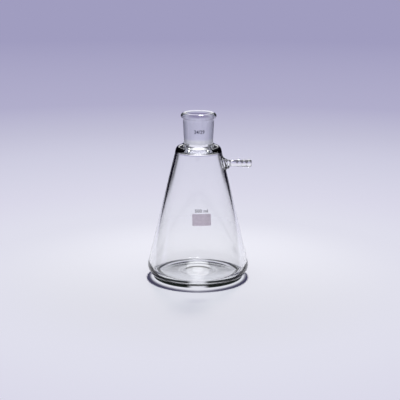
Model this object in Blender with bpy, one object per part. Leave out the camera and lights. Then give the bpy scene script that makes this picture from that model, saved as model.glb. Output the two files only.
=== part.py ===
"""A heavy-wall conical filter flask with a ground-glass neck and a barbed side arm.

Metres, +Z up. The flask stands on z = 0 and its axis is the Z axis; the side arm points along +X.
The blown body, the ground socket and the hose connector are separate glass pieces that a
glassblower fuses; here they stand a small weld gap apart. Every turned outline is a list of
(radius, height) points.
"""

import math

import bmesh
import bpy
from mathutils import Vector

WELD_GAP = 0.0003

# Body: a cone with a rolled heel below and a rounded shoulder above.
BODY_RADIUS = 0.0525
HEEL_RADIUS = 0.012
CONE_ANGLE = math.radians(13.5)
REST_RING_WIDTH = 0.004
BASE_HOLLOW = 0.0018
BASE_THICKNESS = 0.0045
INNER_HEEL_RADIUS = 0.009
INNER_HEEL_HEIGHT = 0.0135
INNER_BELLY_RADIUS = 0.0496
SHOULDER_HEIGHT = 0.134
SHOULDER_RADIUS = 0.0055
SHOULDER_END_ANGLE = math.radians(62.0)
SHOULDER_FILLET = 0.0032
INNER_SHOULDER_HEIGHT = 0.1300
INNER_SHOULDER_RADIUS = 0.0045
INNER_SHOULDER_END_ANGLE = math.radians(68.0)
INNER_SHOULDER_FILLET = 0.003

# Ground socket: a 24/29 taper, 24 mm wide at the mouth and ground over 29 mm.
OVERALL_HEIGHT = 0.172
MOUTH_RADIUS = 0.012
GROUND_LENGTH = 0.029
TAPER = 0.05
NECK_WALL = 0.0044
RIM_BULGE = 0.0019
RIM_ROUNDING = 0.003
RIM_INNER_ROUNDING = 0.0007

# Hose connector: a straight tube flared where it meets the wall, with barbs that grow towards the end.
ARM_HEIGHT = 0.1196
ARM_END = 0.0547
TUBE_RADIUS = 0.0033
BARB_RADII = (0.0038, 0.0041, 0.0045)
BORE_RADIUS = 0.0022
BARB_PITCH = 0.005
BARB_CREST_SHARE = 0.5
TIP_ROUNDING = 0.0006
FLARE_RADIUS = 0.0055
PORT_RADIUS = 0.0026

# White enamel spot for pencil notes, on the front of the cone.
SPOT_HEIGHT = 0.069
SPOT_TURN = math.radians(5.2)
SPOT_WIDTH = 0.019
SPOT_LENGTH = 0.0118
SPOT_THICKNESS = 0.0002

TURN_STEPS = 48
ARM_STEPS = 24
FLARE_STEPS = 5
SADDLE_STEPS = 2
SPOT_COLUMNS = 8


def clear_scene():
    for obj in list(bpy.data.objects):
        bpy.data.objects.remove(obj)


def glass_material(name, colour, roughness):
    material = bpy.data.materials.new(name)
    material.use_nodes = True
    shader = material.node_tree.nodes["Principled BSDF"]
    shader.inputs["Base Color"].default_value = (*colour, 1.0)
    shader.inputs["Roughness"].default_value = roughness
    shader.inputs["Metallic"].default_value = 0.0
    shader.inputs["Transmission Weight"].default_value = 1.0
    shader.inputs["IOR"].default_value = 1.47
    return material


def enamel_material():
    material = bpy.data.materials.new("enamel")
    material.use_nodes = True
    shader = material.node_tree.nodes["Principled BSDF"]
    shader.inputs["Base Color"].default_value = (0.72, 0.69, 0.74, 1.0)
    shader.inputs["Roughness"].default_value = 0.6
    shader.inputs["Metallic"].default_value = 0.0
    return material


def arc(centre, radius, start, end, steps):
    """Points along an arc, both ends included; angles are in radians from the outward direction."""
    points = []
    for step in range(steps + 1):
        angle = start + (end - start) * step / steps
        points.append((centre[0] + radius * math.cos(angle), centre[1] + radius * math.sin(angle)))
    return points


def on_circle(centre, radius, angle):
    return arc(centre, radius, angle, angle, 1)[0]


def cone_radius(foot, height):
    """Radius of the straight cone that starts at the point foot and narrows upwards."""
    return foot[0] - (height - foot[1]) * math.tan(CONE_ANGLE)


def shoulder(foot, height, bend, end_angle, fillet, neck_radius):
    """The outline from the top of a cone, over its shoulder, to the foot of the neck."""
    start = Vector((cone_radius(foot, height), height))
    bend_centre = start - bend * Vector((math.cos(CONE_ANGLE), math.sin(CONE_ANGLE)))
    bend_end = on_circle(bend_centre, bend, end_angle)
    slope_end_radius = neck_radius + fillet * (1 - math.cos(end_angle))
    slope_rise = (bend_end[0] - slope_end_radius) / math.tan(end_angle)
    fillet_centre = (neck_radius + fillet, bend_end[1] + slope_rise + fillet * math.sin(end_angle))
    return (
        arc(bend_centre, bend, CONE_ANGLE, end_angle, 5)
        + arc(fillet_centre, fillet, math.pi + end_angle, math.pi, 5)
    )


def bore_radius(height):
    return MOUTH_RADIUS - TAPER * (OVERALL_HEIGHT - height)


def neck_radius(height):
    return bore_radius(height) + NECK_WALL


def outer_heel_foot():
    """Where the outer heel's arc runs into the cone."""
    return on_circle((BODY_RADIUS - HEEL_RADIUS, HEEL_RADIUS), HEEL_RADIUS, CONE_ANGLE)


def inner_heel_foot():
    centre = (INNER_BELLY_RADIUS - INNER_HEEL_RADIUS, INNER_HEEL_HEIGHT)
    return on_circle(centre, INNER_HEEL_RADIUS, CONE_ANGLE)


def body_outer_outline(top):
    """From the centre of the base, round the heel and up the cone to the top of the neck stub."""
    rest_outer = BODY_RADIUS - HEEL_RADIUS
    rest_inner = rest_outer - REST_RING_WIDTH
    hollow = [(0.0, BASE_HOLLOW), (0.5 * rest_inner, 0.8 * BASE_HOLLOW), (rest_inner, 0.0)]
    heel = arc((rest_outer, HEEL_RADIUS), HEEL_RADIUS, -math.pi / 2, CONE_ANGLE, 9)
    top_radius = neck_radius(top)
    over = shoulder(
        outer_heel_foot(), SHOULDER_HEIGHT, SHOULDER_RADIUS, SHOULDER_END_ANGLE, SHOULDER_FILLET, top_radius
    )
    return hollow + heel + over + [(top_radius, top)]


def body_inner_outline(top):
    """From the centre of the floor, up the inner wall to the top of the neck stub."""
    heel_centre = (INNER_BELLY_RADIUS - INNER_HEEL_RADIUS, INNER_HEEL_HEIGHT)
    heel = arc(heel_centre, INNER_HEEL_RADIUS, -math.pi / 2, CONE_ANGLE, 7)
    top_radius = bore_radius(top)
    over = shoulder(
        inner_heel_foot(),
        INNER_SHOULDER_HEIGHT,
        INNER_SHOULDER_RADIUS,
        INNER_SHOULDER_END_ANGLE,
        INNER_SHOULDER_FILLET,
        top_radius,
    )
    return [(0.0, BASE_THICKNESS)] + heel + over + [(top_radius, top)]


def turned_mesh(name, outline, closed):
    """Spins an outline in the XZ plane about the Z axis."""
    shape = bmesh.new()
    corners = [shape.verts.new((radius, 0.0, height)) for radius, height in outline]
    edges = [shape.edges.new(pair) for pair in zip(corners, corners[1:])]
    if closed:
        edges.append(shape.edges.new((corners[-1], corners[0])))
    bmesh.ops.spin(
        shape,
        geom=corners + edges,
        cent=(0.0, 0.0, 0.0),
        axis=(0.0, 0.0, 1.0),
        angle=math.tau,
        steps=TURN_STEPS,
        use_merge=True,
    )
    bmesh.ops.remove_doubles(shape, verts=shape.verts, dist=1e-6)
    return finished_mesh(name, shape)


def finished_mesh(name, shape):
    bmesh.ops.recalc_face_normals(shape, faces=shape.faces)
    mesh = bpy.data.meshes.new(name)
    shape.to_mesh(mesh)
    shape.free()
    mesh.shade_smooth()
    mesh.set_sharp_from_angle(angle=math.radians(35))
    return mesh


def placed(name, mesh, material):
    piece = bpy.data.objects.new(name, mesh)
    bpy.context.scene.collection.objects.link(piece)
    piece.data.materials.append(material)
    return piece


def skinned_mesh(name, rings, capped):
    """Joins each ring to the next. The ends are capped, or the last ring is joined to the first."""
    shape = bmesh.new()
    loops = [[shape.verts.new(point) for point in ring] for ring in rings]
    pairs = list(zip(loops, loops[1:]))
    if capped:
        shape.faces.new(loops[0])
        shape.faces.new(loops[-1])
    else:
        pairs.append((loops[-1], loops[0]))
    for near, far in pairs:
        for index in range(len(near)):
            following = (index + 1) % len(near)
            shape.faces.new((near[index], near[following], far[following], far[index]))
    return finished_mesh(name, shape)


def cut(piece, cutter):
    cutter.hide_render = True
    cutter.display_type = "WIRE"
    modifier = piece.modifiers.new("Cut", "BOOLEAN")
    modifier.operation = "DIFFERENCE"
    modifier.solver = "EXACT"
    modifier.object = cutter


def make_flask_body(material):
    top = OVERALL_HEIGHT - GROUND_LENGTH
    outline = body_outer_outline(top) + body_inner_outline(top)[::-1]
    body = placed("flask_body", turned_mesh("flask_body", outline, closed=False), material)
    port = skinned_mesh("side_port_cutter", [arm_ring(x, PORT_RADIUS) for x in (0.0, BODY_RADIUS)], capped=True)
    cut(body, placed("side_port_cutter", port, material))
    return body


def make_ground_socket(material):
    bottom = OVERALL_HEIGHT - GROUND_LENGTH + WELD_GAP
    rim_radius = neck_radius(OVERALL_HEIGHT) + RIM_BULGE - RIM_ROUNDING
    rim_height = OVERALL_HEIGHT - RIM_ROUNDING
    rim_start = -math.acos((neck_radius(rim_height - RIM_ROUNDING) - rim_radius) / RIM_ROUNDING)
    rim = arc((rim_radius, rim_height), RIM_ROUNDING, rim_start, math.pi / 2, 8)
    throat_height = OVERALL_HEIGHT - RIM_INNER_ROUNDING
    throat_centre = (bore_radius(throat_height) + RIM_INNER_ROUNDING, throat_height)
    throat = arc(throat_centre, RIM_INNER_ROUNDING, math.pi / 2, math.pi, 3)
    outline = (
        [(neck_radius(bottom), bottom)]
        + rim
        + throat
        + [(bore_radius(bottom), bottom)]
    )
    return placed("ground_socket", turned_mesh("ground_socket", outline, closed=True), material)


def arm_ring(x, radius):
    """A ring of points around the side arm's axis."""
    points = []
    for step in range(ARM_STEPS):
        angle = math.tau * step / ARM_STEPS
        points.append(Vector((x, radius * math.cos(angle), ARM_HEIGHT + radius * math.sin(angle))))
    return points


def wall_point(y, z):
    """The point beside y, z on the cone's outer face, stood off by the weld gap."""
    radius = cone_radius(outer_heel_foot(), z) + WELD_GAP / math.cos(CONE_ANGLE)
    return Vector((math.sqrt(radius * radius - y * y), y, z))


def wall_ring(radii):
    """A ring on the stood-off wall around the side arm's axis, with a radius for each direction."""
    return [
        wall_point(point.y * radius, ARM_HEIGHT + (point.z - ARM_HEIGHT) * radius)
        for point, radius in zip(arm_ring(0.0, 1.0), radii)
    ]


def flare_reaches():
    """How far the flare reaches along the wall and the tube, in each direction.

    A ball of the flare's radius rolls in the corner between the tube and the wall, so it reaches
    further where that corner is tighter, which is below the tube.
    """
    reaches = []
    for inner, outer in zip(wall_ring([TUBE_RADIUS] * ARM_STEPS), wall_ring([1.5 * TUBE_RADIUS] * ARM_STEPS)):
        corner_angle = (outer - inner).angle(Vector((1.0, 0.0, 0.0)))
        reaches.append(FLARE_RADIUS / math.tan(corner_angle / 2))
    return reaches


def flare_rings():
    """From the foot on the wall to the straight tube, each line bending once in the corner."""
    reaches = flare_reaches()
    feet = wall_ring([TUBE_RADIUS + reach for reach in reaches])
    corners = wall_ring([TUBE_RADIUS] * ARM_STEPS)
    ends = [corner + Vector((reach, 0.0, 0.0)) for corner, reach in zip(corners, reaches)]
    rings = []
    for step in range(FLARE_STEPS + 1):
        t = step / FLARE_STEPS
        rings.append(
            [
                foot * (1 - t) ** 2 + corner * 2 * t * (1 - t) + end * t**2
                for foot, corner, end in zip(feet, corners, ends)
            ]
        )
    return rings


def make_hose_connector(material):
    rings = flare_rings()
    start = ARM_END - TIP_ROUNDING - len(BARB_RADII) * BARB_PITCH
    for barb_radius in BARB_RADII:
        rings.append(arm_ring(start, TUBE_RADIUS))
        rings.append(arm_ring(start + BARB_CREST_SHARE * BARB_PITCH, barb_radius))
        start += BARB_PITCH
    rings.append(arm_ring(ARM_END - TIP_ROUNDING, TUBE_RADIUS))
    rings.append(arm_ring(ARM_END, TUBE_RADIUS - TIP_ROUNDING))
    rings.append(arm_ring(ARM_END, BORE_RADIUS))
    foot_radii = [TUBE_RADIUS + reach for reach in flare_reaches()]
    for step in range(SADDLE_STEPS + 1):
        share = step / (SADDLE_STEPS + 1)
        rings.append(wall_ring([BORE_RADIUS + share * (foot - BORE_RADIUS) for foot in foot_radii]))
    return placed("hose_connector", skinned_mesh("hose_connector", rings, capped=False), material)


def make_marking_spot(material):
    """A curved plate that follows the cone, skinned across its width from upright sections."""
    foot = outer_heel_foot()
    half_turn = 0.5 * SPOT_WIDTH / cone_radius(foot, SPOT_HEIGHT)
    rise = 0.5 * SPOT_LENGTH * math.cos(CONE_ANGLE)
    section = []
    for side, height in ((0, -rise), (0, rise), (1, rise), (1, -rise)):
        stand_off = (WELD_GAP + side * SPOT_THICKNESS) / math.cos(CONE_ANGLE)
        section.append((cone_radius(foot, SPOT_HEIGHT + height) + stand_off, SPOT_HEIGHT + height))
    rings = []
    for column in range(SPOT_COLUMNS + 1):
        turn = SPOT_TURN + half_turn * (2 * column / SPOT_COLUMNS - 1)
        rings.append(
            [Vector((radius * math.sin(turn), -radius * math.cos(turn), height)) for radius, height in section]
        )
    return placed("marking_spot", skinned_mesh("marking_spot", rings, capped=True), material)


def make_flask():
    clear_scene()
    clear_glass = glass_material("clear_glass", (0.97, 0.985, 0.98), 0.0)
    ground_glass = glass_material("ground_glass", (0.86, 0.86, 0.90), 0.45)
    make_flask_body(clear_glass)
    make_ground_socket(ground_glass)
    make_hose_connector(clear_glass)
    make_marking_spot(enamel_material())


make_flask()
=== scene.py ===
"""Looks for the filter flask: fused clear glass, a frosted taper and fired enamel marks, on a pale table.

The CAD body, socket and side arm are replaced by one fused glass mesh with nearly the same outlines,
made as a turned grid with the side arm grown out of a window in it. Lengths are in metres, +Z is up.
"""

import math

import bmesh
import bpy
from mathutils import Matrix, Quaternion, Vector


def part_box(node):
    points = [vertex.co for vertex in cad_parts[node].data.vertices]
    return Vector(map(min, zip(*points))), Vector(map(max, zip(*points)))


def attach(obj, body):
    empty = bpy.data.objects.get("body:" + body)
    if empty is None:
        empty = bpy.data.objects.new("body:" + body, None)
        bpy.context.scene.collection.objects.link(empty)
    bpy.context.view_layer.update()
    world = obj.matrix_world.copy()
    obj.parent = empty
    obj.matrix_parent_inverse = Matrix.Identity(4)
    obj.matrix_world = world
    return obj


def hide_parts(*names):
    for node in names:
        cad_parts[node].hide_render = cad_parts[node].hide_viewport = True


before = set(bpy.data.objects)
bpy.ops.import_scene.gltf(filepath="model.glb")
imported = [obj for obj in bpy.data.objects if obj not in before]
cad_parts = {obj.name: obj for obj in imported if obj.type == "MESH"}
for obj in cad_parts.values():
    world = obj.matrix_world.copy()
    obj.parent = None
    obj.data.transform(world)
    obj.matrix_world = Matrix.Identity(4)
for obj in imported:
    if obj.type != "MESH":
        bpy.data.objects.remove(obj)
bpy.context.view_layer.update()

# Driving sizes. What the frame says is read from it.
BODY_RADIUS = -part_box("flask_body")[0].x
STUB_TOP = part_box("flask_body")[1].z
OVERALL_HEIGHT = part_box("ground_socket")[1].z
RIM_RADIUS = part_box("ground_socket")[1].x
ARM_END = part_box("hose_connector")[1].x

CONE_ANGLE = math.radians(13.5)
HEEL_RADIUS = 0.012
REST_RING_WIDTH = 0.004
BASE_HOLLOW = 0.0018
INNER_FLOOR_HEIGHT = 0.0045
FLOOR_CROWN = 0.0012
RING_RADIUS = 0.0155
RING_DEPTH = 0.0003
RING_SPREAD = 0.0036
INNER_BELLY_RADIUS = 0.0496
INNER_HEEL_RADIUS = 0.009
INNER_HEEL_HEIGHT = 0.0135
SHOULDER_HEIGHT = 0.134
SHOULDER_RADIUS = 0.0055
SHOULDER_END_ANGLE = math.radians(62.0)
SHOULDER_FILLET = 0.0032
INNER_SHOULDER_HEIGHT = 0.1300
INNER_SHOULDER_RADIUS = 0.0045
INNER_SHOULDER_END_ANGLE = math.radians(68.0)
INNER_SHOULDER_FILLET = 0.003

MOUTH_RADIUS = 0.012
TAPER = 0.05
NECK_WALL = 0.0044
RIM_ROUNDING = 0.003
RIM_INNER_ROUNDING = 0.0007
GROUND_TOP_MARGIN = 0.0015

ARM_HEIGHT = 0.1196
TUBE_RADIUS = 0.0033
BARB_RADII = (0.0038, 0.0041, 0.0045)
BORE_RADIUS = 0.0022
BARB_PITCH = 0.005
TIP_ROUNDING = 0.0006
SEAL_END = 0.0308
SEAL_RADIUS = 0.0049
SEAL_SAG = 0.00105
SEAL_SPREAD = 0.0037
SEAL_STEP = 0.0029
FUNNEL_END = 0.0290
FUNNEL_RADIUS = 0.0031
FUNNEL_SAG = 0.0007
FUNNEL_SPREAD = 0.002
FUNNEL_STEP = 0.0018

SPOT_HEIGHT = 0.069
SPOT_TURN = math.radians(5.2)
SPOT_WIDTH = 0.019
SPOT_LENGTH = 0.0118
SPOT_CORNER = 0.0006
SPOT_THINNING = 0.0004
SPOT_EDGE_SHARE = 0.35

ENAMEL_LIFT = 0.00003
ENAMEL_THICKNESS = 0.00008

CAPACITY_TEXT = "500 ml"
CAPACITY_SIZE = (0.0131, 0.0033)
CAPACITY_HEIGHT = 0.0778
CAPACITY_TURN = math.radians(5.0)
JOINT_TEXT = "24/29"
JOINT_SIZE = (0.0106, 0.0037)
JOINT_HEIGHT = 0.1545
JOINT_TURN = math.radians(3.0)
LETTER_BOLDNESS = 0.012

# Glass. A pair of lengths is where a blend starts and ends. The ground zone is on the bore alone.
GLASS_IOR = 1.47
GLASS_TINT = (0.60, 0.88, 0.74)
TINT_DENSITY = 3.5
GROUND_FOOT = (STUB_TOP - 0.0036, STUB_TOP - 0.0028)
GROUND_TOP = (OVERALL_HEIGHT - 0.0003, OVERALL_HEIGHT - 0.0007)
GROUND_RADIUS = (0.0127, 0.0125)
GROUND_ROUGHNESS = 0.55
FROST_SHARE = 0.85
FROST_GLOW_SHARE = 0.55
FROST_COLOURS = ((0.64, 0.63, 0.82), (0.76, 0.75, 0.91))
FROST_FOOT = (STUB_TOP + 0.0040, STUB_TOP)
FROST_FOOT_COLOUR = (0.88, 0.88, 0.95)
# Painted shade: a dark band on the frost just under the rim, standing in for the dark edge of the lip.
RIM_SHADE_LOW = (0.1680, 0.1687)
RIM_SHADE_HIGH = (0.1703, 0.1696)
RIM_SHADE_COLOUR = (0.34, 0.30, 0.50)

# How lamp light passes the glass: by the angle it meets, and at the heel and the edge of the foot.
GRAZE_COLOURS = (
    (0.0, (0.997, 0.997, 1.0)),
    (0.85, (0.988, 0.988, 0.992)),
    (1.0, (0.88, 0.88, 0.91)),
)
GROUND_LAMP_COLOUR = (0.90, 0.90, 0.92)
HEEL_TOP = (0.0155, 0.0135)
HEEL_OUTSIDE = (0.0474, 0.0513)
HEEL_LAMP_COLOUR = (0.015, 0.01, 0.06)
FRONT_THINNING = 0.0022
CONTACT_TOP = (0.0018, 0.0013)
CONTACT_OUTSIDE = (0.0405, 0.0418)
CONTACT_SIDE = (0.10, 0.28)
CONTACT_LAMP_COLOUR = (0.012, 0.018, 0.012)

# Enamel: its darker and lighter colours, and the share of light that comes through from behind.
SPOT_ENAMEL = ((0.545, 0.505, 0.555), (0.63, 0.585, 0.635), 0.95)
GREY_ENAMEL = ((0.20, 0.19, 0.22), (0.30, 0.29, 0.33), 0.15)
NAVY_ENAMEL = ((0.012, 0.010, 0.07), (0.03, 0.025, 0.12), 0.1)
ENAMEL_LAMP_COLOUR = (0.9, 0.9, 0.92)

# Studio: a sheet, lit near the flask and further out a glow painted darker with distance as lamp light
# would fall off, and pale backdrops, as the camera sees them. Every other ray also meets a dark
# room, with a bright strip behind the flask. Azimuths and half angles are in degrees. CEILING_BLEND
# and SKY_TOP run from 0 straight down, past 0.5 at the horizon, to 1 straight up.
FLOOR_DROP = 0.0002
FLOOR_RADIUS = 12.0
TABLE_COLOUR = (0.80, 0.80, 0.86)
# The sheet's glow by distance from the flask: painted light, darker further out as if lamp light fell off.
SHEET_GLOW_FALLOFF = (
    (0.09, (0.765, 0.765, 0.85)),
    (0.28, (0.737, 0.735, 0.84)),
    (0.39, (0.70, 0.69, 0.815)),
    (0.52, (0.658, 0.652, 0.783)),
    (0.67, (0.611, 0.605, 0.745)),
    (0.85, (0.539, 0.53, 0.679)),
    (1.15, (0.44, 0.425, 0.604)),
    (2.40, (0.352, 0.337, 0.527)),
)
SHEET_SHIFT = 0.10
SHEET_EDGE = (0.42, 0.72)
SHEET_GLOW = (0.075, 0.25)
# How much brighter the painted glow is for every ray but the camera's.
GLASS_BOOST = 0.07
BACKDROPS = (0.0, 135.0, -90.0)
FLOOR_GAP = (16.0, 10.0)
BACKDROP_GAP = (8.0, 5.0)
BACKDROP_RISE = (0.05, 0.08)
BACKDROP_TOP = (0.52, 0.51, 0.66)
STRIP_HALF_ANGLE = (1.9, 1.4)
STRIP_RISE = (0.035, 0.045)
STRIP_LIGHT = (1.3, 1.3, 1.35)
ROOM_DARK = (0.004, 0.003, 0.010)
CEILING = (0.10, 0.10, 0.12)
CEILING_BLEND = (0.62, 0.80)
SKY_TOP = 0.60
SOFTBOX_PLACE = (0.08, 1.09, 1.68)
SOFTBOX_SIDE = 0.22
SOFTBOX_POWER = 43.0
LIGHT_BOUNCES = 24

# Mesh fineness.
SPOT_COLUMNS = 28
SPOT_ROWS = 20
TURN_STEPS = 192
ARM_WINDOW_HALF_COLUMNS = 13
ARM_WINDOW_LOW = 0.107
ARM_WINDOW_HIGH = 0.1295
ARM_WINDOW_ROWS = 22
PATCH_STEPS = 4
SEAL_STEPS = 10
BARB_STEPS = 12
HOLLOW_STEPS = 48
FLOOR_STEPS = 24
HEEL_STEPS = 28
INNER_HEEL_STEPS = 24
CONE_ROWS = 40
SHOULDER_STEPS = 10
NECK_ROWS = 10
RIM_STEPS = 20
GROUND_ROWS = 12
BORE_STEPS = 12

# The camera's place, where it looks, and its lens.
CAMERA_PLACE = (0.0, -1.175, 0.366)
CAMERA_AIM = (0.0018, 0.0, 0.0803)
CAMERA_ROLL = math.radians(0.25)
SENSOR_WIDTH = 36.0
LENS = 104.85


# ---------------------------------------------------------------- outlines

def on_circle(centre, radius, angle):
    return (centre[0] + radius * math.cos(angle), centre[1] + radius * math.sin(angle))


def arc(centre, radius, start, end, steps):
    return [on_circle(centre, radius, start + (end - start) * step / steps) for step in range(steps + 1)]


OUTER_FOOT = on_circle((BODY_RADIUS - HEEL_RADIUS, HEEL_RADIUS), HEEL_RADIUS, CONE_ANGLE)
INNER_FOOT = on_circle(
    (INNER_BELLY_RADIUS - INNER_HEEL_RADIUS, INNER_HEEL_HEIGHT), INNER_HEEL_RADIUS, CONE_ANGLE
)


def cone_radius(foot, height):
    return foot[0] - (height - foot[1]) * math.tan(CONE_ANGLE)


def outer_cone_radius(height):
    return cone_radius(OUTER_FOOT, height)


def bore_radius(height):
    return MOUTH_RADIUS - TAPER * (OVERALL_HEIGHT - height)


def neck_radius(height):
    return bore_radius(height) + NECK_WALL


def shoulder(foot, height, bend, end_angle, fillet, neck):
    """From the cone's top, round a bend and up the slope, then round a fillet into the neck."""
    start = Vector((cone_radius(foot, height), height))
    bend_centre = start - bend * Vector((math.cos(CONE_ANGLE), math.sin(CONE_ANGLE)))
    bend_end = on_circle(bend_centre, bend, end_angle)
    slope_end_radius = neck + fillet * (1 - math.cos(end_angle))
    slope_rise = (bend_end[0] - slope_end_radius) / math.tan(end_angle)
    fillet_centre = (neck + fillet, bend_end[1] + slope_rise + fillet * math.sin(end_angle))
    return (
        arc(bend_centre, bend, CONE_ANGLE, end_angle, SHOULDER_STEPS)
        + arc(fillet_centre, fillet, math.pi + end_angle, math.pi, SHOULDER_STEPS)
    )


def cone_rows(foot, top):
    """Cone points above its foot, with even rows across the side arm's window."""
    window_step = (ARM_WINDOW_HIGH - ARM_WINDOW_LOW) / ARM_WINDOW_ROWS
    heights = [foot[1] + (ARM_WINDOW_LOW - foot[1]) * step / CONE_ROWS for step in range(1, CONE_ROWS)]
    heights += [ARM_WINDOW_LOW + row * window_step for row in range(ARM_WINDOW_ROWS + 1)]
    heights.append((ARM_WINDOW_HIGH + top) / 2)
    return [(cone_radius(foot, height), height) for height in heights]


def underside(radius):
    """Height of the hollow base, with a shallow moulded ring in it."""
    rest_inner = BODY_RADIUS - HEEL_RADIUS - REST_RING_WIDTH
    dome = BASE_HOLLOW * (1 - (radius / rest_inner) ** 2)
    ring = RING_DEPTH * math.exp(-(((radius - RING_RADIUS) / RING_SPREAD) ** 2))
    return max(dome - ring, 0.0)


def outer_outline():
    """From the centre of the underside, over the heel and the cone, up to the neck."""
    rest_outer = BODY_RADIUS - HEEL_RADIUS
    rest_inner = rest_outer - REST_RING_WIDTH
    radii = [rest_inner * step / HOLLOW_STEPS for step in range(HOLLOW_STEPS + 1)]
    hollow = [(radius, underside(radius)) for radius in radii]
    heel = arc((rest_outer, HEEL_RADIUS), HEEL_RADIUS, -math.pi / 2, CONE_ANGLE, HEEL_STEPS)
    over = shoulder(
        OUTER_FOOT,
        SHOULDER_HEIGHT,
        SHOULDER_RADIUS,
        SHOULDER_END_ANGLE,
        SHOULDER_FILLET,
        neck_radius(STUB_TOP),
    )
    return hollow + heel + cone_rows(OUTER_FOOT, SHOULDER_HEIGHT) + over


def rim_outline():
    """Up the neck, over the beaded rim and into the mouth."""
    rim_centre = (RIM_RADIUS - RIM_ROUNDING, OVERALL_HEIGHT - RIM_ROUNDING)
    under_rim = rim_centre[1] - RIM_ROUNDING
    rim_start = -math.acos((neck_radius(under_rim) - rim_centre[0]) / RIM_ROUNDING)
    neck = []
    for step in range(NECK_ROWS):
        height = STUB_TOP + step * (under_rim - STUB_TOP) / NECK_ROWS
        neck.append((neck_radius(height), height))
    rim = arc(rim_centre, RIM_ROUNDING, rim_start, math.pi / 2, RIM_STEPS)
    throat_height = OVERALL_HEIGHT - RIM_INNER_ROUNDING
    throat_centre = (bore_radius(throat_height) + RIM_INNER_ROUNDING, throat_height)
    return neck + rim + arc(throat_centre, RIM_INNER_ROUNDING, math.pi / 2, math.pi, 5)


def bore_outline():
    """Down the ground taper."""
    top = OVERALL_HEIGHT - GROUND_TOP_MARGIN
    heights = [top + (STUB_TOP - top) * step / GROUND_ROWS for step in range(GROUND_ROWS + 1)]
    return [(bore_radius(height), height) for height in heights]


def inner_outline():
    """From the floor's centre up to the bore; it is used top to bottom."""
    floor_radius = INNER_BELLY_RADIUS - INNER_HEEL_RADIUS
    floor = []
    for step in range(FLOOR_STEPS):
        share = step / FLOOR_STEPS
        floor.append((floor_radius * share, INNER_FLOOR_HEIGHT + FLOOR_CROWN * (1 - share**2)))
    heel_centre = (floor_radius, INNER_HEEL_HEIGHT)
    heel = arc(heel_centre, INNER_HEEL_RADIUS, -math.pi / 2, CONE_ANGLE, INNER_HEEL_STEPS)
    over = shoulder(
        INNER_FOOT,
        INNER_SHOULDER_HEIGHT,
        INNER_SHOULDER_RADIUS,
        INNER_SHOULDER_END_ANGLE,
        INNER_SHOULDER_FILLET,
        bore_radius(STUB_TOP),
    )
    return floor + heel + cone_rows(INNER_FOOT, INNER_SHOULDER_HEIGHT) + over


# ---------------------------------------------------------------- fused glass mesh

def arm_ring(x, radius, angles):
    return [Vector((x, radius * math.cos(a), ARM_HEIGHT + radius * math.sin(a))) for a in angles]


def on_cone(foot, y, z):
    radius = cone_radius(foot, z)
    return Vector((math.sqrt(radius * radius - y * y), y, z))


def bezier(points, t):
    """A point on the cubic curve with these four control points."""
    weights = ((1 - t) ** 3, 3 * t * (1 - t) ** 2, 3 * t * t * (1 - t), t**3)
    return tuple(sum(w * point[axis] for w, point in zip(weights, points)) for axis in range(2))


def seal_curve(foot, angle, end, radius, spread, tube_radius, step_length):
    """(x, radius) pairs from the cone wall, over the swelling of the seal, down to the tube.

    spread is how much wider the seal's foot is than its end.
    """

    def wall(distance):
        point = on_cone(foot, distance * math.cos(angle), ARM_HEIGHT + distance * math.sin(angle))
        return (point.x, distance)

    swell = (
        wall(radius + spread),
        wall(radius + 0.45 * spread),
        (end - 0.55 * spread, radius),
        (end, radius),
    )
    shrink = (
        (end, radius),
        (end + 0.5 * step_length, radius),
        (end + 0.35 * step_length, tube_radius),
        (end + step_length, tube_radius),
    )
    points = [bezier(swell, step / SEAL_STEPS) for step in range(SEAL_STEPS)]
    return points + [bezier(shrink, step / SEAL_STEPS) for step in range(SEAL_STEPS + 1)]


def seal_rings(foot, angles, end, radius, sag, spread, tube_radius, step_length):
    """Rings from the wall to the tube. The seal hangs lower than the tube's axis by its sag."""
    curves = []
    for angle in angles:
        swollen = radius - sag * math.sin(angle)
        curve = seal_curve(foot, angle, end, swollen, spread, tube_radius, step_length)
        curves.append([Vector((x, r * math.cos(angle), ARM_HEIGHT + r * math.sin(angle))) for x, r in curve])
    return [list(ring) for ring in zip(*curves)]


def barb_outline():
    """(x, radius) along the tube's outside: rounded barbs with sharp valleys, then the rounded tip."""
    start = ARM_END - TIP_ROUNDING - len(BARB_RADII) * BARB_PITCH
    points = []
    for barb_radius in BARB_RADII:
        for step in range(BARB_STEPS):
            share = step / BARB_STEPS
            swell = math.sin(math.pi * share**1.15)
            points.append((start + share * BARB_PITCH, TUBE_RADIUS + (barb_radius - TUBE_RADIUS) * swell))
        start += BARB_PITCH
    tip_centre = (ARM_END - TIP_ROUNDING, TUBE_RADIUS - TIP_ROUNDING)
    return points + arc(tip_centre, TIP_ROUNDING, math.pi / 2, -math.pi / 3, 8)


def side_arm_rings(window_outer, window_inner):
    """Rings from the outer wall's window, along the arm, back through its bore to the inner window."""
    angles = [math.atan2(point.z - ARM_HEIGHT, point.y) for point in window_outer]
    outside = seal_rings(
        OUTER_FOOT, angles, SEAL_END, SEAL_RADIUS, SEAL_SAG, SEAL_SPREAD, TUBE_RADIUS, SEAL_STEP
    )
    inside = seal_rings(
        INNER_FOOT, angles, FUNNEL_END, FUNNEL_RADIUS, FUNNEL_SAG, FUNNEL_SPREAD, BORE_RADIUS, FUNNEL_STEP
    )
    rings = patch(OUTER_FOOT, window_outer, outside[0]) + outside
    rings += [arm_ring(x, radius, angles) for x, radius in barb_outline()]
    bore_start = ARM_END - 0.5 * TIP_ROUNDING
    bore_end = FUNNEL_END + FUNNEL_STEP
    for step in range(BORE_STEPS):
        x = bore_start + (bore_end - bore_start) * step / BORE_STEPS
        rings.append(arm_ring(x, BORE_RADIUS, angles))
    return rings + inside[::-1] + patch(INNER_FOOT, window_inner, inside[0])[::-1]


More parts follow.
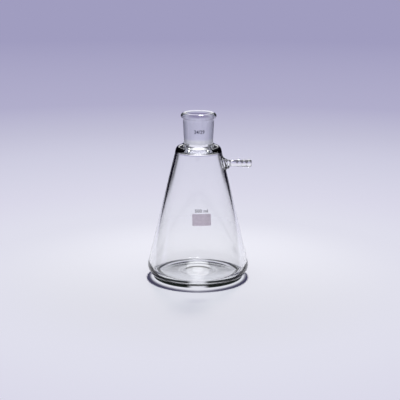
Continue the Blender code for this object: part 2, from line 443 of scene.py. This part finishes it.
def patch(foot, window, hole):
    """Rings on the cone between the window's edge and the hole's edge, both left out."""
    rings = []
    for step in range(1, PATCH_STEPS):
        t = step / PATCH_STEPS
        rings.append([on_cone(foot, *(w.yz.lerp(h.yz, t))) for w, h in zip(window, hole)])
    return rings


def arm_windows(outline):
    """Rows of the side arm's window, (low, high), on the outer wall and on the inner wall."""
    heights = [height for _, height in outline]
    top = heights.index(max(heights))
    windows = []
    for rows in (range(top), range(top, len(outline))):
        edges = (ARM_WINDOW_LOW, ARM_WINDOW_HIGH)
        windows.append([min(rows, key=lambda row: abs(heights[row] - edge)) for edge in edges])
    return windows


def in_window(row, column, window):
    offset = (column + TURN_STEPS // 2) % TURN_STEPS - TURN_STEPS // 2
    half = ARM_WINDOW_HALF_COLUMNS
    return min(window) <= row < max(window) and -half <= offset < half


def turned_grid(shape, outline):
    """A ring of points for each point of the outline. On the axis, one point stands for a whole ring."""
    grid = []
    for radius, height in outline:
        if radius < 1e-9:
            grid.append([shape.verts.new((0.0, 0.0, height))] * TURN_STEPS)
            continue
        ring = []
        for step in range(TURN_STEPS):
            turn = math.tau * step / TURN_STEPS
            ring.append(shape.verts.new((radius * math.cos(turn), radius * math.sin(turn), height)))
        grid.append(ring)
    return grid


def fill_grid(shape, grid, windows):
    """Faces between the rings, with the side arm's windows left open."""
    for row, (near, far) in enumerate(zip(grid, grid[1:])):
        for column in range(TURN_STEPS):
            if any(in_window(row, column, window) for window in windows):
                continue
            following = (column + 1) % TURN_STEPS
            corners = (near[column], near[following], far[following], far[column])
            shape.faces.new(list(dict.fromkeys(corners)))


def window_edge(grid, window):
    """The window's edge, once round from its lower right corner, seen from outside."""
    low, high = window
    step = 1 if high > low else -1
    half = ARM_WINDOW_HALF_COLUMNS
    places = [(low, column) for column in range(-half, half)]
    places += [(row, half) for row in range(low, high, step)]
    places += [(high, column) for column in range(half, -half, -1)]
    places += [(row, -half) for row in range(high, low, -step)]
    return [grid[row][column % TURN_STEPS] for row, column in places]


def join_loops(shape, loops):
    """Bands of faces between closed loops of points that follow each other."""
    for near, far in zip(loops, loops[1:]):
        for index in range(len(near)):
            following = (index + 1) % len(near)
            shape.faces.new((near[index], near[following], far[following], far[index]))


def finished_mesh(shape, name):
    mesh = bpy.data.meshes.new(name)
    shape.to_mesh(mesh)
    shape.free()
    return mesh


def make_glass_mesh():
    """Outside, rim, bore and inside in one turned grid, with the side arm joined to both walls."""
    outline = outer_outline() + rim_outline() + bore_outline() + inner_outline()[-2::-1]
    outline = [p for i, p in enumerate(outline) if i == 0 or math.dist(p, outline[i - 1]) > 1e-6]
    windows = arm_windows(outline)
    shape = bmesh.new()
    grid = turned_grid(shape, outline)
    fill_grid(shape, grid, windows)
    outer_edge, inner_edge = (window_edge(grid, window) for window in windows)
    rings = side_arm_rings([v.co.copy() for v in outer_edge], [v.co.copy() for v in inner_edge])
    arm = [[shape.verts.new(point) for point in ring] for ring in rings]
    join_loops(shape, [outer_edge] + arm + [inner_edge])
    bmesh.ops.recalc_face_normals(shape, faces=shape.faces)
    mesh = finished_mesh(shape, "flask_glass")
    mesh.shade_smooth()
    return mesh


# ---------------------------------------------------------------- materials

class Tree:
    """Short-hand for building one node tree."""

    def __init__(self, owner):
        owner.use_nodes = True
        self.nodes = owner.node_tree.nodes
        self.links = owner.node_tree.links

    def add(self, kind, **inputs):
        node = self.nodes.new(kind)
        for name, value in inputs.items():
            self.feed(node.inputs[name.replace("_", " ")], value)
        return node

    def feed(self, socket, value):
        if isinstance(value, bpy.types.NodeSocket):
            self.links.new(value, socket)
        else:
            socket.default_value = value

    def math(self, operation, *values):
        node = self.nodes.new("ShaderNodeMath")
        node.operation = operation
        for socket, value in zip(node.inputs, values):
            self.feed(socket, value)
        return node.outputs[0]

    def vector(self, operation, *values):
        node = self.nodes.new("ShaderNodeVectorMath")
        node.operation = operation
        for socket, value in zip(node.inputs, values):
            self.feed(socket, value)
        return node.outputs["Value" if operation in ("LENGTH", "DOT_PRODUCT") else "Vector"]

    def smooth(self, value, start, end):
        """0 at start, 1 at end, eased between them. start may be the larger."""
        node = self.nodes.new("ShaderNodeMapRange")
        node.interpolation_type = "SMOOTHSTEP"
        self.feed(node.inputs["Value"], value)
        low, high = min(start, end), max(start, end)
        node.inputs["From Min"].default_value = low
        node.inputs["From Max"].default_value = high
        node.inputs["To Min"].default_value = float(start > end)
        node.inputs["To Max"].default_value = float(start < end)
        return node.outputs["Result"]

    def ramp(self, value, stops):
        node = self.nodes.new("ShaderNodeValToRGB")
        self.feed(node.inputs["Fac"], value)
        elements = node.color_ramp.elements
        while len(elements) < len(stops):
            elements.new(0.5)
        for element, (position, colour) in zip(elements, stops):
            element.position = position
            element.color = (*colour, 1.0)
        return node.outputs["Color"]

    def noise(self, vector, scale, detail=2.0):
        node = self.nodes.new("ShaderNodeTexNoise")
        self.feed(node.inputs["Vector"], vector)
        node.inputs["Scale"].default_value = scale
        node.inputs["Detail"].default_value = detail
        return node.outputs["Fac"]

    def unseen(self):
        """0 for the camera's own rays, 1 for every other ray."""
        path = self.nodes.new("ShaderNodeLightPath")
        return self.math("SUBTRACT", 1.0, path.outputs["Is Camera Ray"])

    def place(self):
        """Position on the piece, in metres, its distance from the flask's axis and its height."""
        point = self.nodes.new("ShaderNodeTexCoord").outputs["Object"]
        across = self.vector("MULTIPLY", point, (1.0, 1.0, 0.0))
        height = self.vector("DOT_PRODUCT", point, (0.0, 0.0, 1.0))
        return point, self.vector("LENGTH", across), height

    def mix_shader(self, share, first, second):
        node = self.nodes.new("ShaderNodeMixShader")
        self.feed(node.inputs["Fac"], share)
        self.links.new(first, node.inputs[1])
        self.links.new(second, node.inputs[2])
        return node.outputs["Shader"]

    def mix_colour(self, share, first, second):
        node = self.nodes.new("ShaderNodeMix")
        node.data_type = "RGBA"
        self.feed(node.inputs["Factor"], share)
        self.feed(node.inputs[6], first)
        self.feed(node.inputs[7], second)
        return node.outputs[2]


def new_material(name):
    material = bpy.data.materials.new(name)
    tree = Tree(material)
    tree.nodes.clear()
    return material, tree, tree.add("ShaderNodeOutputMaterial")


def ground_zone(tree, radius, height):
    """1 on the ground taper inside the neck, 0 on clear glass."""
    inside = tree.smooth(radius, *GROUND_RADIUS)
    above = tree.smooth(height, *GROUND_FOOT)
    below = tree.smooth(height, *GROUND_TOP)
    return tree.math("MULTIPLY", inside, tree.math("MULTIPLY", above, below))


def frost(tree, grain, height):
    """The scatter of ground glass: paler at its foot, with a band of painted shade under the rim, where the
    lip's edge looks dark.
    """
    colour = tree.mix_colour(grain, *((*shade, 1.0) for shade in FROST_COLOURS))
    colour = tree.mix_colour(tree.smooth(height, *FROST_FOOT), colour, (*FROST_FOOT_COLOUR, 1.0))
    # The band of painted shade under the rim.
    rim_shade = tree.math("MULTIPLY", tree.smooth(height, *RIM_SHADE_LOW), tree.smooth(height, *RIM_SHADE_HIGH))
    colour = tree.mix_colour(rim_shade, colour, (*RIM_SHADE_COLOUR, 1.0))
    matt = tree.add("ShaderNodeBsdfDiffuse", Color=colour)
    glow = tree.add("ShaderNodeBsdfTranslucent", Color=colour)
    return tree.mix_shader(FROST_GLOW_SHARE, matt.outputs["BSDF"], glow.outputs["BSDF"])


def lamp_colour(tree, point, radius, height, ground):
    """What is left of a lamp's ray that goes straight through the glass.

    It stands in for the light that curved glass gathers. The heel bends light inwards, so its outside
    passes little, in a band that is thinner at the front and back than at the sides. So does the edge
    of the foot, at the sides only.
    """
    facing = tree.add("ShaderNodeLayerWeight", Blend=0.5).outputs["Facing"]
    graze = tree.ramp(facing, GRAZE_COLOURS)
    offset = tree.vector("LENGTH", tree.vector("MULTIPLY", point, (1.0, 0.0, 0.0)))
    sideways = tree.math("DIVIDE", offset, radius)
    narrowed = tree.math("MULTIPLY_ADD", tree.math("SUBTRACT", 1.0, sideways), -FRONT_THINNING, radius)
    heel = tree.math("MULTIPLY", tree.smooth(height, *HEEL_TOP), tree.smooth(narrowed, *HEEL_OUTSIDE))
    contact = tree.math("MULTIPLY", tree.smooth(height, *CONTACT_TOP), tree.smooth(radius, *CONTACT_OUTSIDE))
    contact = tree.math("MULTIPLY", contact, tree.smooth(sideways, *CONTACT_SIDE))
    colour = tree.mix_colour(heel, graze, (*HEEL_LAMP_COLOUR, 1.0))
    colour = tree.mix_colour(contact, colour, (*CONTACT_LAMP_COLOUR, 1.0))
    return tree.mix_colour(ground, colour, (*GROUND_LAMP_COLOUR, 1.0))


def flask_glass():
    """Clear borosilicate glass, ground to a frost on the taper inside the neck."""
    material, tree, output = new_material("flask_glass")
    point, radius, height = tree.place()
    ground = ground_zone(tree, radius, height)
    grain = tree.noise(point, 1400.0, 4.0)
    frost_roughness = tree.math("MULTIPLY_ADD", grain, 0.25, GROUND_ROUGHNESS)
    clear = tree.add("ShaderNodeBsdfPrincipled", Base_Color=(1.0, 1.0, 1.0, 1.0), IOR=GLASS_IOR)
    clear.inputs["Transmission Weight"].default_value = 1.0
    tree.feed(clear.inputs["Roughness"], tree.math("MULTIPLY", ground, frost_roughness))
    frosted = tree.math("MULTIPLY", ground, FROST_SHARE)
    surface = tree.mix_shader(frosted, clear.outputs["BSDF"], frost(tree, grain, height))

    passed = lamp_colour(tree, point, radius, height, ground)
    straight = tree.add("ShaderNodeBsdfTransparent", Color=passed)
    path = tree.nodes.new("ShaderNodeLightPath")
    lamp_ray = tree.math("MAXIMUM", path.outputs["Is Shadow Ray"], path.outputs["Is Diffuse Ray"])
    surface = tree.mix_shader(lamp_ray, surface, straight.outputs["BSDF"])
    tree.links.new(surface, output.inputs["Surface"])

    tint = tree.add("ShaderNodeVolumeAbsorption", Color=(*GLASS_TINT, 1.0), Density=TINT_DENSITY)
    tree.links.new(tint.outputs["Volume"], output.inputs["Volume"])
    return material


def enamel(name, dark, light, through):
    """Fired enamel: matt, a little mottled, with a share of light coming through from behind.

    Lamps shine through it, as a stand-in, so that it throws hardly any shadow on the table.
    """
    material, tree, output = new_material(name)
    point, _, _ = tree.place()
    cloud = tree.noise(point, 420.0, 3.0)
    grain = tree.noise(point, 3000.0, 2.0)
    mottle = tree.math("MULTIPLY_ADD", grain, 0.4, tree.math("MULTIPLY", cloud, 0.6))
    colour = tree.mix_colour(tree.smooth(mottle, 0.35, 0.65), (*dark, 1.0), (*light, 1.0))
    bump = tree.add("ShaderNodeBump", Strength=0.6, Distance=0.00003, Height=grain)
    front = tree.add("ShaderNodeBsdfPrincipled", Base_Color=colour, Normal=bump.outputs["Normal"])
    front.inputs["Roughness"].default_value = 0.55
    front.inputs["Specular IOR Level"].default_value = 0.3
    back = tree.add("ShaderNodeBsdfTranslucent", Color=colour)
    coat = tree.mix_shader(through, front.outputs["BSDF"], back.outputs["BSDF"])
    path = tree.nodes.new("ShaderNodeLightPath")
    thin = tree.add("ShaderNodeBsdfTransparent", Color=(*ENAMEL_LAMP_COLOUR, 1.0))
    coat = tree.mix_shader(path.outputs["Is Shadow Ray"], coat, thin.outputs["BSDF"])
    tree.links.new(coat, output.inputs["Surface"])
    return material


# ---------------------------------------------------------------- pieces

def placed(name, mesh, *materials):
    piece = bpy.data.objects.new(name, mesh)
    bpy.context.scene.collection.objects.link(piece)
    for material in materials:
        piece.data.materials.append(material)
    return piece


def make_flask_glass():
    piece = placed("flask_glass", make_glass_mesh(), flask_glass())
    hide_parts("flask_body", "ground_socket", "hose_connector")
    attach(piece, "root")


def on_glass(radius_at, turn, across, height, lift):
    """A point on a turned surface, across from a turn by an arc length, lifted off it."""
    radius = radius_at(height)
    angle = turn + across / radius
    return Vector(((radius + lift) * math.sin(angle), -(radius + lift) * math.cos(angle), height))


def spot_point(row, column, side):
    """A point on the spot's inner (0) or outer (1) side. Rows and columns crowd towards its edges."""
    half_width, half_length = SPOT_WIDTH / 2, SPOT_LENGTH / 2
    up = half_length * math.sin(math.pi * (row / SPOT_ROWS - 0.5))
    over = max(abs(up) - (half_length - SPOT_CORNER), 0.0)
    reach = half_width - SPOT_CORNER + math.sqrt(max(SPOT_CORNER**2 - over**2, 0.0))
    across = reach * math.sin(math.pi * (column / SPOT_COLUMNS - 0.5))
    inset = min(half_length - abs(up), reach - abs(across))
    fullness = SPOT_EDGE_SHARE + (1 - SPOT_EDGE_SHARE) * min(inset / SPOT_THINNING, 1.0)
    lift = ENAMEL_LIFT + side * ENAMEL_THICKNESS * fullness
    return on_glass(outer_cone_radius, SPOT_TURN, across, SPOT_HEIGHT + up * math.cos(CONE_ANGLE), lift)


def spot_side(shape, side):
    """One side's faces. Returns the loop of points round its edge."""
    grid = []
    for row in range(SPOT_ROWS + 1):
        points = [spot_point(row, column, side) for column in range(SPOT_COLUMNS + 1)]
        grid.append([shape.verts.new(point) for point in points])
    for low, high in zip(grid, grid[1:]):
        for index in range(SPOT_COLUMNS):
            shape.faces.new((low[index], low[index + 1], high[index + 1], high[index]))
    return grid[0] + [row[-1] for row in grid[1:]] + grid[-1][-2::-1] + [row[0] for row in grid[-2:0:-1]]


def make_marking_spot():
    """A curved plate with rounded corners and thinned edges."""
    shape = bmesh.new()
    join_loops(shape, [spot_side(shape, 0), spot_side(shape, 1)])
    bmesh.ops.recalc_face_normals(shape, faces=shape.faces)
    piece = placed("note_spot", finished_mesh(shape, "note_spot"), enamel("spot_enamel", *SPOT_ENAMEL))
    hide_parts("marking_spot")
    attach(piece, "root")


def lettering(name, text):
    """Flat letters as a mesh, half a unit thick on each side of its plane."""
    curve = bpy.data.curves.new(name + "_letters", "FONT")
    curve.body = text
    curve.align_x = "CENTER"
    curve.align_y = "CENTER"
    curve.extrude = 0.5
    curve.resolution_u = 3
    curve.offset = LETTER_BOLDNESS
    letters = bpy.data.objects.new(name + "_letters", curve)
    bpy.context.scene.collection.objects.link(letters)
    depsgraph = bpy.context.evaluated_depsgraph_get()
    mesh = bpy.data.meshes.new_from_object(letters.evaluated_get(depsgraph))
    bpy.data.objects.remove(letters)
    bpy.data.curves.remove(curve)
    mesh.materials.clear()
    mesh.name = name
    return mesh


def print_on_glass(name, text, size, radius_at, turn, height, slant, material):
    """Bends lettering onto the glass. size is its width and length, slant the wall's lean from upright."""
    mesh = lettering(name, text)
    xs = [vertex.co.x for vertex in mesh.vertices]
    ys = [vertex.co.y for vertex in mesh.vertices]
    scale_x = size[0] / (max(xs) - min(xs))
    scale_y = size[1] / (max(ys) - min(ys))
    middle = ((max(xs) + min(xs)) / 2, (max(ys) + min(ys)) / 2)
    for vertex in mesh.vertices:
        across = (vertex.co.x - middle[0]) * scale_x
        up = (vertex.co.y - middle[1]) * scale_y * math.cos(slant)
        lift = ENAMEL_LIFT + (ENAMEL_THICKNESS if vertex.co.z > 0 else 0.0)
        vertex.co = on_glass(radius_at, turn, across, height + up, lift)
    shape = bmesh.new()
    shape.from_mesh(mesh)
    bmesh.ops.remove_doubles(shape, verts=shape.verts, dist=1e-6)
    bmesh.ops.recalc_face_normals(shape, faces=shape.faces)
    shape.to_mesh(mesh)
    shape.free()
    piece = placed(name, mesh, material)
    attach(piece, "root")


def make_prints():
    grey = enamel("print_grey", *GREY_ENAMEL)
    navy = enamel("print_navy", *NAVY_ENAMEL)
    print_on_glass(
        "capacity_print",
        CAPACITY_TEXT,
        CAPACITY_SIZE,
        outer_cone_radius,
        CAPACITY_TURN,
        CAPACITY_HEIGHT,
        CONE_ANGLE,
        grey,
    )
    print_on_glass("joint_print", JOINT_TEXT, JOINT_SIZE, neck_radius, JOINT_TURN, JOINT_HEIGHT, 0.0, navy)


# ---------------------------------------------------------------- studio

def sheet_material():
    """The sheet round the flask: lit near it, and further out a glow painted darker with distance as lamp
    light falls off.
    Past its edge only the camera sees it pale, save at the backdrops.
    """
    material, tree, output = new_material("table_top")
    point, radius, _ = tree.place()
    reach = SHEET_GLOW_FALLOFF[-1][0]
    colour = tree.ramp(
        tree.math("DIVIDE", radius, reach), [(distance / reach, colour) for distance, colour in SHEET_GLOW_FALLOFF]
    )
    lit = tree.add("ShaderNodeBsdfDiffuse", Color=(*TABLE_COLOUR, 1.0))
    unseen = tree.unseen()
    strength = tree.math("MULTIPLY_ADD", unseen, GLASS_BOOST, 1.0)
    glow = tree.add("ShaderNodeEmission", Color=colour, Strength=strength)
    surface = tree.mix_shader(tree.smooth(radius, *SHEET_GLOW), lit.outputs["BSDF"], glow.outputs["Emission"])

    unit = tree.vector("NORMALIZE", tree.vector("MULTIPLY", point, (1.0, 1.0, 0.0)))
    from_sheet = tree.vector("LENGTH", tree.vector("SUBTRACT", point, (SHEET_SHIFT, 0.0, 0.0)))
    past_edge = tree.smooth(from_sheet, *SHEET_EDGE)
    off_sheet = tree.math("MULTIPLY", past_edge, gaps(tree, unit, BACKDROPS, FLOOR_GAP))
    black = tree.add("ShaderNodeEmission", Color=(*ROOM_DARK, 1.0))
    dark = tree.math("MULTIPLY", off_sheet, unseen)
    surface = tree.mix_shader(dark, surface, black.outputs["Emission"])
    tree.links.new(surface, output.inputs["Surface"])
    return material


def make_floor():
    shape = bmesh.new()
    bmesh.ops.create_circle(shape, cap_ends=True, radius=FLOOR_RADIUS, segments=96)
    floor = placed("table_top", finished_mesh(shape, "table_top"), sheet_material())
    floor.location = (0.0, 0.0, -FLOOR_DROP)


def gaps(tree, unit, azimuths, edge):
    """0 towards each azimuth around the flask, 1 in the gaps between them."""
    best = None
    for azimuth in azimuths:
        angle = math.radians(azimuth)
        towards = tree.vector("DOT_PRODUCT", unit, (math.sin(angle), math.cos(angle), 0.0))
        best = towards if best is None else tree.math("MAXIMUM", best, towards)
    outer, inner = (math.cos(math.radians(angle)) for angle in edge)
    return tree.smooth(best, inner, outer)


def make_world():
    """Pale sky for the camera. Every other ray also meets dark gaps, a ceiling and a bright strip."""
    world = bpy.data.worlds.new("studio")
    bpy.context.scene.world = world
    tree = Tree(world)
    background = tree.nodes["Background"]
    ray = tree.nodes.new("ShaderNodeTexCoord").outputs["Generated"]
    rise = tree.vector("DOT_PRODUCT", ray, (0.0, 0.0, 1.0))
    share = tree.math("MULTIPLY_ADD", rise, 0.5, 0.5)
    far_sheet = SHEET_GLOW_FALLOFF[-1][1]
    pale = tree.ramp(share, ((0.0, far_sheet), (0.5, far_sheet), (SKY_TOP, BACKDROP_TOP)))
    ceiling = tree.ramp(share, tuple(zip(CEILING_BLEND, (ROOM_DARK, CEILING))))
    unit = tree.vector("NORMALIZE", tree.vector("MULTIPLY", ray, (1.0, 1.0, 0.0)))
    unseen = tree.unseen()
    dark = tree.math("MAXIMUM", gaps(tree, unit, BACKDROPS, BACKDROP_GAP), tree.smooth(rise, *BACKDROP_RISE))
    strip = tree.math("SUBTRACT", 1.0, gaps(tree, unit, (0.0,), STRIP_HALF_ANGLE))
    strip = tree.math("MULTIPLY", strip, tree.smooth(rise, *STRIP_RISE))
    colour = tree.mix_colour(tree.math("MULTIPLY", dark, unseen), pale, ceiling)
    colour = tree.mix_colour(tree.math("MULTIPLY", strip, unseen), colour, (*STRIP_LIGHT, 1.0))
    tree.feed(background.inputs["Color"], colour)


def make_softbox():
    lamp = bpy.data.lights.new("softbox", "AREA")
    lamp.size = SOFTBOX_SIDE
    lamp.energy = SOFTBOX_POWER
    holder = bpy.data.objects.new("softbox", lamp)
    bpy.context.scene.collection.objects.link(holder)
    holder.location = SOFTBOX_PLACE
    holder.rotation_mode = "QUATERNION"
    holder.rotation_quaternion = (-Vector(SOFTBOX_PLACE)).to_track_quat("-Z", "Y")


def make_camera():
    data = bpy.data.cameras.new("camera")
    data.sensor_width = SENSOR_WIDTH
    data.lens = LENS
    camera = bpy.data.objects.new("camera", data)
    bpy.context.scene.collection.objects.link(camera)
    camera.location = CAMERA_PLACE
    camera.rotation_mode = "QUATERNION"
    aim = (Vector(CAMERA_AIM) - Vector(CAMERA_PLACE)).to_track_quat("-Z", "Y")
    camera.rotation_quaternion = aim @ Quaternion((0.0, 0.0, 1.0), CAMERA_ROLL)
    bpy.context.scene.camera = camera


def make_studio():
    make_camera()
    make_floor()
    make_world()
    make_softbox()
    scene = bpy.context.scene
    scene.view_settings.view_transform = "Standard"
    scene.cycles.max_bounces = LIGHT_BOUNCES
    scene.cycles.transmission_bounces = LIGHT_BOUNCES


make_flask_glass()
make_marking_spot()
make_prints()
make_studio()
